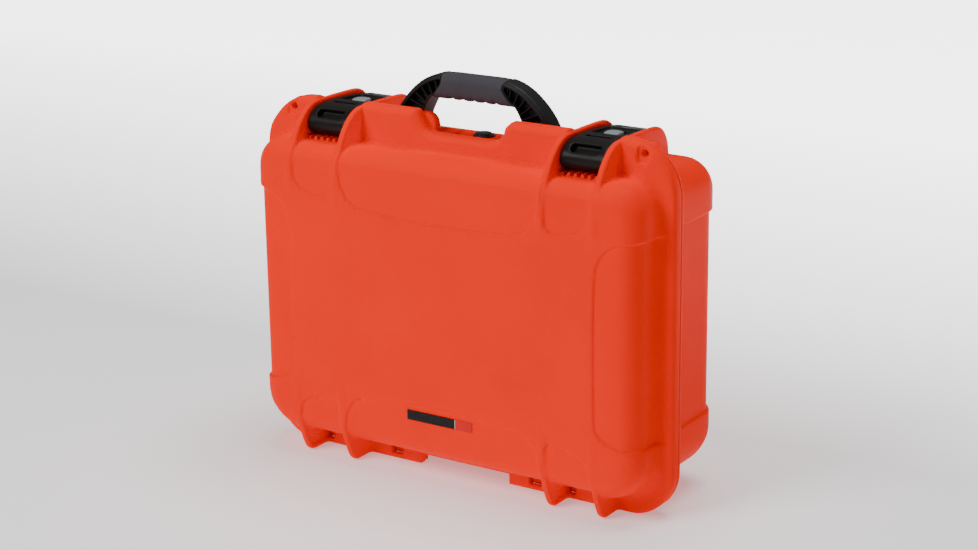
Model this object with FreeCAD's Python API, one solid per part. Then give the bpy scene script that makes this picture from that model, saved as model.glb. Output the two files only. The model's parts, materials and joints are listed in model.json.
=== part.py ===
"""Hard equipment case, standing upright on its hinge side with the handle raised.

Lengths are in millimetres.  +X runs along the case, +Z up, and the lid faces -Y.
Everything is drawn with the parting plane between lid and base at y = 0, and
export() moves it so that the footprint is centred on the origin.
"""

import FreeCAD, Part
import math
import os

from FreeCAD import Vector

# Overall case
CASE_WIDTH = 478.0
CASE_HEIGHT = 372.5
LID_DEPTH = 58.5
BASE_DEPTH = 112.0
RIB_STAND_OFF = 1.5
CAVITY_WIDTH = 432.0
CAVITY_HEIGHT = 300.0

# Rim where lid and base meet
RIM_BOTTOM_R = 47.0
RIM_TOP_R = 55.0
LID_RIM = 13.0
BASE_RIM = 7.0
RIM_EDGE_R = 4.0
BAY_RIM_Z = 338.5

# Domes
DOME_HALF = 225.0
DOME_Z0 = 18.0
DOME_Z1 = 337.0
DOME_BOTTOM_R = 46.0
DOME_TOP_R = 32.0
FACE_EDGE_R = 23.0
BACK_EDGE_R = 30.0
WALL_RECESS = 3.0
FACE_RECESS = 1.5

# Ribs either side of each latch, and the fins below them
RIB_T = 7.0
INNER_RIB_X = 120.0
OUTER_RIB_X = 177.0
SIDE_RECESS_Z = (79.0, 285.0)
SIDE_PANEL_X = 177.0

# Notch in the rim under the handle, and the clear strip between the hinge blocks
NOTCH_TOP_HALF = 53.0
NOTCH_FLOOR_HALF = 33.0
NOTCH_Z = 350.5
STRIP_HALF = 53.2
STRIP_Z = 11.0

# Hinge: pivot, barrels and windows
HINGE_Z = 9.0
BARREL_R = 6.3
BARREL_CLEAR_R = 7.0
BARREL_SPAN = (70.0, 182.0)
KNUCKLES = ((77.0, 91.0), (122.0, 131.0), (166.0, 175.0))
KNUCKLE_GAP = 0.5
BARREL_CAP = 0.5
HINGE_WINDOW_Z = 3.0
HINGE_BLOCK_X = (STRIP_HALF, 195.0)
HINGE_BLOCK_Y = 12.0
HINGE_PIN_R = 2.0
LID_RELIEF_DEG = 30.0
BASE_RELIEF_DEG = 67.0
RUNNING_GAP = 0.05

# Handle
HANDLE_Y = 21.5
HANDLE_PIVOT_Z = 350.0
HANDLE_T = 23.0
GRIP_T = 26.0
GRIP_TOP_HALF = 37.0
GRIP_FOOT_HALF = 48.0
GRIP_Z = (381.5, 407.5)
GRIP_FLARE_Z = 401.5
HANDLE_PIN_R = 3.0
LEG_FOOT_R = 9.5
NECK_HEIGHT = 7.0

# Open channels of the handle's legs and the webs across them
CHANNEL_Z = 362.0
CHANNEL_WALL = 3.0
CHANNEL_FRONT = 8.5
CHANNEL_BACK = 7.5
WEB_COUNT = 6
WEB_T = 1.4
WEB_LENGTH = 60.0
WEB_HUB_X = 36.0
WEB_FIRST_DEG = 8.0
WEB_STEP_DEG = 14.0

# Grip bumps, and the lugs that carry the handle
GRIP_EDGE_R = 8.0
BUMPS = 7
BUMP_PITCH = 12.7
VALLEY_R = 3.2
LUG_INNER_X = (38.5, 59.5)
LUG_Z = 368.0
LUG_CORNER_R = 13.0
LUG_Y = 15.0
LUG_BEARING_R = 8.0
LUG_BEARING = 8.0
LUG_OUTER_X = (92.0, 98.5)
HANDLE_PIN_X = (LUG_INNER_X[1] - LUG_BEARING, LUG_OUTER_X[1])
ROOT_DEPTH = 6.0
SHELF_Z = 349.0
SHELF_Y = 31.0

# Latches
LATCH_X = (INNER_RIB_X + OUTER_RIB_X) / 2
LEVER_HALF = 24.5
LEVER_CHEEK = 3.5
LEVER_PIVOT = (-19.0, 349.0)
LATCH_PIN_R = 2.5
BUTTON_PIVOT = (43.5, 358.0)
BUTTON_PIN_R = 1.5
BUTTON_Y = (22.5, 38.5)
BUTTON_HALF = 8.5
BOSS_R = 6.0
BOSS_GAP_HALF = 11.4
KEEPER_Y = (11.5, 17.5)
KEEPER_HALF = 14.0
KEEPER_Z = 344.0

# Padlock holes through both rims
PADLOCK_X = 204.5
PADLOCK_Z = 360.5
PADLOCK_R = 3.6
PADLOCK_POCKET_R = 6.5
PADLOCK_POCKET_Y = -10.0
PADLOCK_BOSS = 6.0

# Pressure valve
VALVE_X = 8.5
VALVE_Y = 18.5
VALVE_R = 11.0
VALVE_SUNK = 1.5
VALVE_STEM_R = 6.0
NUT_R = 9.0
VALVE_SEAT_Z = SHELF_Z - VALVE_SUNK

# Badge
BADGE_Z = (67.0, 77.0)
BADGE_X = (-38.0, 39.0)
BADGE_SPLIT_X = 19.0
BADGE_T = 1.2

CENTRE_SHIFT = -(BASE_DEPTH - LID_DEPTH - RIB_STAND_OFF) / 2
FAR = 600.0
CAVITY_Z = (27.0, 27.0 + CAVITY_HEIGHT)


# ---------------------------------------------------------------- drawing helpers

def box(x0, x1, y0, y1, z0, z1):
    return Part.makeBox(x1 - x0, y1 - y0, z1 - z0, Vector(x0, y0, z0))


def rod_x(radius, y, z, x0, x1):
    return Part.makeCylinder(radius, x1 - x0, Vector(x0, y, z), Vector(1, 0, 0))


def rod_y(radius, x, z, y0, y1):
    return Part.makeCylinder(radius, y1 - y0, Vector(x, y0, z), Vector(0, 1, 0))


def rod_z(radius, x, y, z0, z1):
    return Part.makeCylinder(radius, z1 - z0, Vector(x, y, z0), Vector(0, 0, 1))


def side_plate(points, x0, x1):
    """A plate across X with its outline given as (y, z) points."""
    corners = [Vector(x0, y, z) for y, z in points]
    wire = Part.makePolygon(corners + corners[:1])
    return Part.Face(wire).extrude(Vector(x1 - x0, 0, 0))


def path_prism(path, y0, y1):
    """A prism along Y.  The path is (x, z) points; a triple of points is an arc's start, middle and end."""
    edges = []
    last = first = None
    for step in path:
        points = step if isinstance(step[0], tuple) else (step,)
        ends = [Vector(x, y0, z) for x, z in points]
        if last is not None and last.distanceToPoint(ends[0]) > 1e-6:
            edges.append(Part.LineSegment(last, ends[0]).toShape())
        if len(ends) == 3:
            edges.append(Part.Arc(*ends).toShape())
        last = ends[-1]
        first = first or ends[0]
    edges.append(Part.LineSegment(last, first).toShape())
    return Part.Face(Part.Wire(edges)).extrude(Vector(0, y1 - y0, 0))


def rounded_slab(half, z0, z1, bottom_r, top_r, y0, y1):
    """A slab facing Y with rounded bottom and top corners."""
    k = 1 - math.sqrt(0.5)
    b, t = bottom_r, top_r
    path = [
        ((half - b, z0), (half - k * b, z0 + k * b), (half, z0 + b)),
        ((half, z1 - t), (half - k * t, z1 - k * t), (half - t, z1)),
        ((-half + t, z1), (-half + k * t, z1 - k * t), (-half, z1 - t)),
        ((-half, z0 + b), (-half + k * b, z0 + k * b), (-half + b, z0)),
    ]
    return path_prism(path, y0, y1)


def mirrored_arc(points):
    return tuple((-x, z) for x, z in reversed(points))


def mirrored(shape):
    return shape.mirror(Vector(0, 0, 0), Vector(1, 0, 0))


def both_sides(shape):
    return [shape, mirrored(shape)]


def fuse(first, *others):
    return first.fuse(list(others)).removeSplitter()


def round_plane(shape, y, radius):
    """Rounds every edge that lies in the plane at this y."""
    edges = [e for e in shape.Edges if all(abs(v.Point.y - y) < 1e-6 for v in e.Vertexes)]
    return shape.makeFillet(radius, edges)


# ---------------------------------------------------------------- shell outlines

def dome(depth, inset, face_inset):
    """One half's dome from y = 0 to the face; depth is negative for the lid."""
    toward = math.copysign(1, depth)
    slab = rounded_slab(
        DOME_HALF - inset, DOME_Z0 + inset, DOME_Z1 - inset,
        DOME_BOTTOM_R - inset, DOME_TOP_R - inset,
        min(0, depth - toward * face_inset), max(0, depth - toward * face_inset),
    )
    return round_plane(slab, depth - toward * face_inset, FACE_EDGE_R if depth < 0 else BACK_EDGE_R)


def recess_prisms():
    """The shallow sunk fields between the corner bumpers, panels and ribs, through the whole depth."""
    low, high = SIDE_RECESS_Z
    inner = INNER_RIB_X - RIB_T / 2
    bay = (INNER_RIB_X + RIB_T / 2, OUTER_RIB_X - RIB_T / 2)
    side = [
        (240, high), ((214, high), (188, 274), (SIDE_PANEL_X, 248)),
        ((SIDE_PANEL_X, 101), (183, 89), (197, low + 4)), (240, low),
    ]
    top_bay = [(bay[0], 350), (bay[0], 285), ((150, 285), (167, 291), (bay[1], 305)), (bay[1], 350)]
    bottom_bay = [(bay[0], 5), (bay[0], 73), ((140, 72), (158, 68), (bay[1], 58)), (bay[1], 5)]
    prisms = []
    for path in (side, top_bay, bottom_bay):
        prisms += both_sides(path_prism(path, -FAR, FAR))
    top = [(-inner, 350), ((-inner, 280.5), (0, 272), (inner, 280.5)), (inner, 350)]
    bottom = [(-inner, 5), ((-inner, 77), (0, 85), (inner, 77)), (inner, 5)]
    return prisms + [path_prism(top, -FAR, FAR), path_prism(bottom, -FAR, FAR)]


def sculpted_dome(depth):
    """The dome with its sunk fields."""
    full = dome(depth, 0, 0)
    sunk = dome(depth, WALL_RECESS, FACE_RECESS)
    fields = Part.makeCompound(recess_prisms())
    return full.cut(fields.cut(sunk))


def rim(y0, y1):
    """The flat rim of one half, with the handle notch, latch bays and hinge strip cut out."""
    slab = rounded_slab(CASE_WIDTH / 2, 0, CASE_HEIGHT, RIM_BOTTOM_R, RIM_TOP_R, y0, y1)
    slab = round_plane(slab, y0 if y0 < 0 else y1, RIM_EDGE_R)
    top, floor = NOTCH_TOP_HALF, NOTCH_FLOOR_HALF
    shoulder = ((top + 9, CASE_HEIGHT), (top + 3.5, CASE_HEIGHT - 1.2), (top, CASE_HEIGHT - 5))
    corner = ((top - 5.5, NOTCH_Z + 10), (top - 11, NOTCH_Z + 3), (floor, NOTCH_Z))
    half_notch = [(top + 9, FAR), shoulder, corner]
    other_half = [mirrored_arc(corner), mirrored_arc(shoulder), (-top - 9, FAR)]
    notch = path_prism(half_notch + other_half, -FAR, FAR)
    strip = box(-STRIP_HALF, STRIP_HALF, -FAR, FAR, -FAR, STRIP_Z)
    bay = box(INNER_RIB_X, OUTER_RIB_X, -FAR, FAR, BAY_RIM_Z, FAR)
    return slab.cut([notch, strip] + both_sides(bay))


def hinge_relief(angle_deg, toward):
    """The wedge below the hinge line that leaves room to swing; toward is -1 for the lid side."""
    drop = HINGE_Z + 2
    spread = drop * math.tan(math.radians(angle_deg))
    points = [(0, HINGE_Z), (0, HINGE_Z - drop), (toward * spread, HINGE_Z - drop)]
    return side_plate(points, -CASE_WIDTH, CASE_WIDTH)


def cavity(depth):
    toward = math.copysign(1, depth)
    low, high = min(-toward, depth), max(-toward, depth)
    slab = rounded_slab(CAVITY_WIDTH / 2, *CAVITY_Z, 30, 26, low, high)
    return round_plane(slab, depth, 18)


RIB_CREST = [
    (-44, 346), (-36.6, 355.4), (-27.8, 363.5), (-19, 368), (-11, 370), (58, 370), (69, 366.5), (76, 360),
    (81, 351), (83, 341), (83, 322),
]
LID_RIB = [(0, 300), (-LID_DEPTH + 4, 288), (-LID_DEPTH - RIB_STAND_OFF, 288), (-LID_DEPTH - 0.5, 309),
           (-57, 319), (-53, 328)] + [p for p in RIB_CREST if p[0] < 0] + [(0, 370)]
BASE_RIB = [(0, 300), (0, 370)] + [p for p in RIB_CREST if p[0] > 0] + [(60, 300)]
LID_FIN = [(0, 60), (-LID_DEPTH + 4, 78), (-LID_DEPTH - RIB_STAND_OFF, 78), (-LID_DEPTH - 0.5, 61),
           (-57.5, 43), (-53.5, 29), (-48.5, 15), (-43, 4), (-37, 0), (0, 0)]
BASE_FIN = [(0, 60), (0, 0), (72, 0), (80, 5), (84, 15), (84, 40), (60, 60)]


def ribs(outline):
    plates = []
    for x in (INNER_RIB_X, OUTER_RIB_X):
        plates += both_sides(side_plate(outline, x - RIB_T / 2, x + RIB_T / 2))
    return plates


def padlock_holes():
    return both_sides(rod_y(PADLOCK_R, PADLOCK_X, PADLOCK_Z, -LID_RIM - 1, 40))


def padlock_pockets():
    """A sunk slot round each hole on the lid's rim."""
    x, z, r = PADLOCK_X, PADLOCK_Z, PADLOCK_POCKET_R
    front = -LID_RIM - 1
    round_end = rod_y(r, x, z - 1, front, PADLOCK_POCKET_Y)
    square_end = box(x - r, x + r, front, PADLOCK_POCKET_Y, z - 1, z + 8)
    return both_sides(fuse(round_end, square_end))


# ---------------------------------------------------------------- shells

def lid_shell():
    solid = fuse(sculpted_dome(-LID_DEPTH), rim(-LID_RIM, 0), *ribs(LID_RIB), *ribs(LID_FIN))
    solid = solid.cut(hinge_relief(LID_RELIEF_DEG, -1))
    barrel = rod_x(BARREL_R, 0, HINGE_Z, *BARREL_SPAN)
    solid = fuse(solid, *both_sides(barrel))
    cuts = [cavity(-LID_DEPTH + 4.5), badge_pocket(), gasket_ring(0.0)] + padlock_holes() + padlock_pockets()
    for x0, x1 in KNUCKLES:
        window = box(x0 - KNUCKLE_GAP, x1 + KNUCKLE_GAP, -FAR, FAR, HINGE_WINDOW_Z, HINGE_Z + BARREL_CLEAR_R)
        window = window.common(box(-FAR, FAR, -LID_RIM - 20, 20, 0, 40))
        clearance = rod_x(BARREL_CLEAR_R, 0, HINGE_Z, x0 - KNUCKLE_GAP, x1 + KNUCKLE_GAP)
        cuts += both_sides(fuse(window, clearance))
    bore_x = (BARREL_SPAN[0] + BARREL_CAP, BARREL_SPAN[1] - BARREL_CAP)
    cuts += both_sides(rod_x(HINGE_PIN_R + RUNNING_GAP, 0, HINGE_Z, *bore_x))
    pin_y, pin_z = LEVER_PIVOT
    pin_hole = rod_x(LATCH_PIN_R, pin_y, pin_z, INNER_RIB_X - 2, OUTER_RIB_X + 2)
    comb = [
        box(x - 1.2, x + 1.2, -24, -16, DOME_Z1 - 6, DOME_Z1)
        for x in [LATCH_X + 7.5 * step for step in range(-3, 4)]
    ]
    teeth = [tooth for one in comb for tooth in both_sides(one)]
    return fuse(solid.cut(cuts + both_sides(pin_hole)), *teeth)


def base_shell():
    block = box(*HINGE_BLOCK_X, 0, HINGE_BLOCK_Y, 0, DOME_Z0 + WALL_RECESS + 1)
    solid = fuse(
        sculpted_dome(BASE_DEPTH), rim(0, BASE_RIM), handle_shelf(),
        *ribs(BASE_RIB), *ribs(BASE_FIN), *both_sides(block),
    )
    solid = solid.cut(hinge_relief(BASE_RELIEF_DEG, 1))
    cuts = [cavity(BASE_DEPTH - 4.5)] + both_sides(
        rod_x(BARREL_CLEAR_R, 0, HINGE_Z, BARREL_SPAN[0] - KNUCKLE_GAP, BARREL_SPAN[1] + KNUCKLE_GAP)
    )
    solid = solid.cut(cuts + [valve_hole(), shelf_hollow()])
    x0, x1 = LUG_INNER_X
    corner = ((x0, LUG_Z - LUG_CORNER_R), (x0 + 4, LUG_Z - 4), (x0 + LUG_CORNER_R, LUG_Z))
    lug_root = DOME_Z1 - ROOT_DEPTH
    inner_lug = path_prism([(x0, lug_root), corner, (x1, LUG_Z), (x1, lug_root)], BASE_RIM - 0.5, LUG_Y)
    bearing = rod_x(LUG_BEARING_R, HANDLE_Y, HANDLE_PIVOT_Z, x1 - LUG_BEARING, x1)
    x0, x1 = LUG_OUTER_X
    ear = rod_x(LEG_FOOT_R, HANDLE_Y, HANDLE_PIVOT_Z, x0, x1)
    post = box(x0, x1, BASE_RIM - 0.5, HANDLE_Y + LEG_FOOT_R, lug_root, HANDLE_PIVOT_Z)
    lugs = both_sides(inner_lug) + both_sides(bearing) + both_sides(fuse(ear, post))
    for x0, x1 in KNUCKLES:
        knuckle = rod_x(BARREL_R, 0, HINGE_Z, x0, x1)
        arm = box(x0, x1, 0, BASE_RIM + 1, HINGE_Z, HINGE_Z + BARREL_CLEAR_R + 2)
        lugs += both_sides(fuse(knuckle, arm))
    keeper = box(LATCH_X - KEEPER_HALF, LATCH_X + KEEPER_HALF, *KEEPER_Y, lug_root, KEEPER_Z)
    boss = rod_y(PADLOCK_R + 4, PADLOCK_X, PADLOCK_Z, BASE_RIM - 0.5, BASE_RIM + PADLOCK_BOSS)
    solid = fuse(solid, *lugs, *both_sides(keeper), *both_sides(boss))
    pins = both_sides(rod_x(HINGE_PIN_R, 0, HINGE_Z, *BARREL_SPAN))
    pins += both_sides(rod_x(HANDLE_PIN_R, HANDLE_Y, HANDLE_PIVOT_Z, *HANDLE_PIN_X))
    return solid.cut(pins + padlock_holes())


def handle_shelf():
    """The raised shelf on the base that carries the handle and the valve."""
    outer = LUG_OUTER_X[1]
    shelf = box(-outer, outer, 0, SHELF_Y, DOME_Z1 - 8, SHELF_Z)
    floor = HANDLE_PIVOT_Z - max(LEG_FOOT_R, HANDLE_T / 2) - 0.7
    legs = box(LUG_INNER_X[1], LUG_OUTER_X[0], BASE_RIM, SHELF_Y + 1, floor, FAR)
    return shelf.cut(both_sides(legs))


def shelf_hollow():
    return box(-LUG_INNER_X[0] + 4, LUG_INNER_X[0] - 4, 10, SHELF_Y - 4, CAVITY_Z[1] - 1, SHELF_Z - 4)


def valve_hole():
    """The stem's hole, and the shallow seat that sinks the valve into the shelf."""
    stem = rod_z(VALVE_STEM_R, VALVE_X, VALVE_Y, CAVITY_Z[1], FAR)
    return fuse(stem, rod_z(VALVE_R + 1, VALVE_X, VALVE_Y, VALVE_SEAT_Z, FAR))


# ---------------------------------------------------------------- small parts on the shells

def gasket_ring(gap):
    """A square-section seal; its groove is the same ring."""
    outer = rounded_slab(229, 17.5, 333.5, 36, 32, -3.5, gap)
    inner = rounded_slab(225, 21.5, 329.5, 32, 28, -4, 1)
    return outer.cut(inner)


def badge_pocket():
    sunk = -LID_DEPTH + FACE_RECESS
    return box(*BADGE_X, -LID_DEPTH - 1, sunk + BADGE_T, *BADGE_Z)


def badge(x0, x1):
    """A blank plate let into the sunk field below the panel."""
    sunk = -LID_DEPTH + FACE_RECESS
    return box(x0, x1, sunk - 0.3, sunk + BADGE_T, *BADGE_Z)


def hinge_pin():
    return rod_x(HINGE_PIN_R, 0, HINGE_Z, BARREL_SPAN[0] + 1, BARREL_SPAN[1] - 1)


def valve_body():
    flange = rod_z(VALVE_R, VALVE_X, VALVE_Y, VALVE_SEAT_Z + 0.6, VALVE_SEAT_Z + 2.4)
    stem = rod_z(VALVE_STEM_R, VALVE_X, VALVE_Y, VALVE_SEAT_Z - 11, VALVE_SEAT_Z + 1)
    return fuse(flange, stem)


def valve_cap():
    cap = rod_z(VALVE_R - 3, VALVE_X, VALVE_Y, VALVE_SEAT_Z + 2.4, VALVE_SEAT_Z + 4.4)
    slot = box(VALVE_X - 7, VALVE_X + 7, VALVE_Y - 1, VALVE_Y + 1, VALVE_SEAT_Z + 3.4, VALVE_SEAT_Z + 5)
    return cap.cut(slot)


def valve_seal():
    return rod_z(VALVE_R - 1, VALVE_X, VALVE_Y, VALVE_SEAT_Z, VALVE_SEAT_Z + 0.6).cut(
        rod_z(VALVE_STEM_R, VALVE_X, VALVE_Y, VALVE_SEAT_Z - 1, VALVE_SEAT_Z + 2)
    )


def valve_nut():
    corners = []
    for degrees in range(0, 360, 60):
        angle = math.radians(degrees)
        x = VALVE_X + NUT_R * math.cos(angle)
        y = VALVE_Y + NUT_R * math.sin(angle)
        corners.append(Vector(x, y, VALVE_SEAT_Z - 9))
    nut = Part.Face(Part.makePolygon(corners + corners[:1])).extrude(Vector(0, 0, 5))
    return nut.cut(rod_z(VALVE_STEM_R, VALVE_X, VALVE_Y, VALVE_SEAT_Z - 20, VALVE_SEAT_Z))


# ---------------------------------------------------------------- handle

def leg_x():
    """The inner and outer faces of the handle's foot."""
    return LUG_INNER_X[1] + 1, LUG_OUTER_X[0] - 0.5


def handle_outline(shrink):
    """The arch of the handle, foot to foot, drawn this much inside its real edge."""
    inner, outer = leg_x()
    inner, outer = inner + shrink, outer - shrink
    top, under = GRIP_Z[1] - shrink, GRIP_Z[0] + 2 + shrink
    knee = ((inner, 365), (inner - 3, 376.5 + shrink), (inner - 11.5, under))
    shoulder = ((outer - 1.5, 364), (outer - 12, 381.5), (59 - shrink, 398.8 - shrink))
    crown = ((59 - shrink, 398.8 - shrink), (49, 404.4 - shrink), (36, top))
    inside = [(inner, HANDLE_PIVOT_Z), knee, mirrored_arc(knee), (-inner, HANDLE_PIVOT_Z)]
    left = [(-outer, HANDLE_PIVOT_Z), mirrored_arc(shoulder[::-1]), mirrored_arc(crown[::-1])]
    right = [crown[::-1], shoulder[::-1], (outer, HANDLE_PIVOT_Z)]
    return inside + left + right


def grip_outline(foot_z):
    foot, top = GRIP_FOOT_HALF, GRIP_TOP_HALF
    flare = [(foot, foot_z), (foot, GRIP_Z[0] + 3), (top, GRIP_FLARE_Z), (top, GRIP_Z[1])]
    return flare + [(-x, z) for x, z in reversed(flare)]


def grip_core():
    reach = GRIP_TOP_HALF + 6
    return box(-reach, reach, HANDLE_Y - 7, HANDLE_Y + 7, GRIP_Z[0] + 6, GRIP_Z[1] - 6)


def leg_webs(y0, y1):
    """Thin stiffening webs across the open channels of both legs."""
    webs = []
    for step in range(WEB_COUNT):
        web = box(0, WEB_LENGTH, y0, y1, -WEB_T / 2, WEB_T / 2)
        web.rotate(Vector(0, 0, 0), Vector(0, -1, 0), WEB_FIRST_DEG + step * WEB_STEP_DEG)
        web.translate(Vector(WEB_HUB_X, 0, CHANNEL_Z))
        webs += both_sides(web)
    return webs


def handle_frame():
    y0, y1 = HANDLE_Y - HANDLE_T / 2, HANDLE_Y + HANDLE_T / 2
    inner, outer = leg_x()
    foot = rod_x(LEG_FOOT_R, HANDLE_Y, HANDLE_PIVOT_Z, inner, outer)
    neck_y = (HANDLE_Y - LEG_FOOT_R, HANDLE_Y + LEG_FOOT_R)
    neck = box(inner, outer, *neck_y, HANDLE_PIVOT_Z, HANDLE_PIVOT_Z + NECK_HEIGHT)
    below = box(-FAR, FAR, -FAR, FAR, 0, HANDLE_PIVOT_Z + NECK_HEIGHT - 1)
    arch = path_prism(handle_outline(0), y0, y1).cut(below)
    arch = fuse(arch, *both_sides(foot), *both_sides(neck))
    channels = []
    for front, back in ((y0 - 1, y0 + CHANNEL_FRONT), (y1 - CHANNEL_BACK, y1 + 1)):
        channel = path_prism(handle_outline(CHANNEL_WALL), front, back)
        channels.append(channel.cut([box(-FAR, FAR, -FAR, FAR, 0, CHANNEL_Z)] + leg_webs(y0, y1)))
    arch = arch.cut([channel.cut(grip_room(1.5)) for channel in channels]).cut(grip_room(0))
    bore = rod_x(HANDLE_PIN_R + RUNNING_GAP, HANDLE_Y, HANDLE_PIVOT_Z, -100, 100)
    return fuse(arch, grip_core()).cut(bore)


def grip_room(margin):
    """The space that the grip takes out of the arch, with a wall of this thickness beside it."""
    points = [(x + math.copysign(margin, x), z) for x, z in grip_outline(GRIP_Z[0] - 10)]
    points = [(x, z + 10 if z == GRIP_Z[1] else z) for x, z in points]
    return path_prism(points, -FAR, FAR)


def handle_grip():
    y0, y1 = HANDLE_Y - GRIP_T / 2, HANDLE_Y + GRIP_T / 2
    block = box(-GRIP_FOOT_HALF, GRIP_FOOT_HALF, y0, y1, *GRIP_Z)
    long_edges = [e for e in block.Edges if abs(e.tangentAt(e.FirstParameter).x) > 0.9]
    grip = block.makeFillet(GRIP_EDGE_R, long_edges).common(path_prism(grip_outline(GRIP_Z[0]), y0, y1))
    valleys = []
    for step in range(BUMPS):
        x = BUMP_PITCH * (step - (BUMPS - 1) / 2)
        valleys.append(rod_y(VALLEY_R, x, GRIP_Z[0] - VALLEY_R + 1, y0 - 1, y1 + 1))
    return grip.cut(valleys + [grip_core()])


def handle_pins():
    x0, x1 = HANDLE_PIN_X
    pin = rod_x(HANDLE_PIN_R, HANDLE_Y, HANDLE_PIVOT_Z, x0 + 0.5, x1 - 0.5)
    return Part.makeCompound(both_sides(pin))


# ---------------------------------------------------------------- latches, drawn at x = LATCH_X

LEVER_TOP = [
    (-21, 340), (-27, 342.5), (-30.3, 348), (-29, 354), (-25, 359.5), (-19, 363.8), (-10, 366.7), (2, 367.6),
    (16, 367.6), (33, 366.8), (50, 365.5), (67, 363.5), (84, 360.5), (86, 356), (85, 350),
]
LEVER_BELOW = [(60, 347), (-6, 347), (-12, 341)]


def latch_lever():
    x0, x1 = LATCH_X - LEVER_HALF, LATCH_X + LEVER_HALF
    body = side_plate(LEVER_TOP + LEVER_BELOW, x0, x1)
    under = [(-11, 330), (-8, 361), (2, 362.8), (33, 361), (60, 359.5), (81, 356), (82, 330)]
    hollow = side_plate(under, x0 + LEVER_CHEEK, x1 - LEVER_CHEEK)
    slot = [(-40, 354.7), (-8, 355), (-4, 362.2), (-13, 362.2), (-17.5, 364.6), (-22, 372), (-40, 372)]
    finger = side_plate(slot, LATCH_X - 15.8, LATCH_X + 15.8)
    narrow = box(LATCH_X - 14, LATCH_X + 14, BUTTON_Y[0] - 22, BUTTON_Y[0] - 15, 350, FAR)
    recess = box(LATCH_X - 16.5, LATCH_X + 16.5, BUTTON_Y[0] - 6, BUTTON_PIVOT[0] + 10, 363.2, FAR)
    window_half = BUTTON_HALF + 0.4
    window_y = (BUTTON_Y[0] - 1.3, BUTTON_PIVOT[0] + 6)
    window = box(LATCH_X - window_half, LATCH_X + window_half, *window_y, 350, FAR)
    boss = rod_x(BOSS_R, *BUTTON_PIVOT, x0 + 0.5, x1 - 0.5)
    boss = boss.cut(box(LATCH_X - BOSS_GAP_HALF, LATCH_X + BOSS_GAP_HALF, -FAR, FAR, 0, FAR))
    lever = fuse(body.cut([hollow, finger, narrow, recess, window]), boss)
    holes = [
        rod_x(LATCH_PIN_R + RUNNING_GAP, *LEVER_PIVOT, x0 - 1, x1 + 1),
        rod_x(BUTTON_PIN_R, *BUTTON_PIVOT, x0 + 3, x1 - 3),
    ]
    return lever.cut(holes)


def latch_pin():
    return rod_x(LATCH_PIN_R, *LEVER_PIVOT, INNER_RIB_X - 1.5, OUTER_RIB_X + 1.5)


def button_pin():
    return rod_x(BUTTON_PIN_R, *BUTTON_PIVOT, LATCH_X - LEVER_HALF + 3.5, LATCH_X + LEVER_HALF - 3.5)


def release_button():
    """The grey thumb pad."""
    y0, y1 = BUTTON_Y
    outline = [(y0, 361), (y0, 365.5), (y0 + 2, 367), (y1 - 2, 366.6), (y1, 365), (y1, 361)]
    pad = side_plate(outline, LATCH_X - BUTTON_HALF, LATCH_X + BUTTON_HALF)
    corners = [e for e in pad.Edges if abs(e.tangentAt(e.FirstParameter).z) > 0.9]
    return pad.makeFillet(2.0, corners)


def release_catch():
    """The rocker under the thumb pad, with a tooth that drops behind the keeper."""
    y, z = BUTTON_PIVOT
    half = BUTTON_HALF
    y0 = BUTTON_Y[0]
    arm = [(y0, 357.5), (y0, 361), (y, 361), (y, z - 2.5), (y0 + 6, z - 2.5), (y0 + 5, 349),
           (y0 + 1, 347.5), (y0 - 1.5, 348.5), (y0 - 0.5, 355)]
    rocker = side_plate(arm, LATCH_X - half, LATCH_X + half)
    eye = rod_x(3.5, y, z, LATCH_X - half, LATCH_X + half)
    return fuse(rocker, eye).cut(rod_x(BUTTON_PIN_R + RUNNING_GAP, y, z, 0, FAR))


def button_spring():
    """A torsion spring beside the rocker, round the button's pin."""
    y, z = BUTTON_PIVOT
    coil = rod_x(2.2, y, z, LATCH_X + BUTTON_HALF + 0.3, LATCH_X + BUTTON_HALF + 2.7)
    return coil.cut(rod_x(BUTTON_PIN_R + 0.3, y, z, 0, FAR))


# ---------------------------------------------------------------- the files

def export(name, shape):
    placed = shape.copy()
    placed.translate(Vector(0, CENTRE_SHIFT, 0))
    placed.exportStep("parts/" + name + ".step")


def main():
    os.makedirs("parts", exist_ok=True)
    singles = {
        "base_shell": base_shell(),
        "lid_shell": lid_shell(),
        "lid_gasket": gasket_ring(-0.1),
        "badge_plate": badge(BADGE_X[0], BADGE_SPLIT_X - 0.4),
        "badge_tab": badge(BADGE_SPLIT_X + 0.4, BADGE_X[1]),
        "valve_body": valve_body(),
        "valve_cap": valve_cap(),
        "valve_seal": valve_seal(),
        "valve_nut": valve_nut(),
        "handle_frame": handle_frame(),
        "handle_grip": handle_grip(),
        "handle_pins": handle_pins(),
    }
    pairs = {
        "hinge_pin": hinge_pin(),
        "latch_lever": latch_lever(),
        "latch_pin": latch_pin(),
        "release_button": release_button(),
        "release_catch": release_catch(),
        "button_pin": button_pin(),
        "button_spring": button_spring(),
    }
    for name, shape in singles.items():
        export(name, shape)
    for name, shape in pairs.items():
        export(name + "_right", shape)
        export(name + "_left", mirrored(shape))


main()
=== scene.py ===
"""The looks of the hard equipment case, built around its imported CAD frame.

The two shells, the handle and the latches are shaped here as distance fields, so that ribs, bumpers and
rims run into each other with moulded fillets, and are then meshed.  Lengths in this script are the case's
own millimetres: x along the case, y from the parting plane between lid and base, z up.
"""

import json
import math

import bpy
import numpy as np
import openvdb
from mathutils import Matrix, Vector


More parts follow.
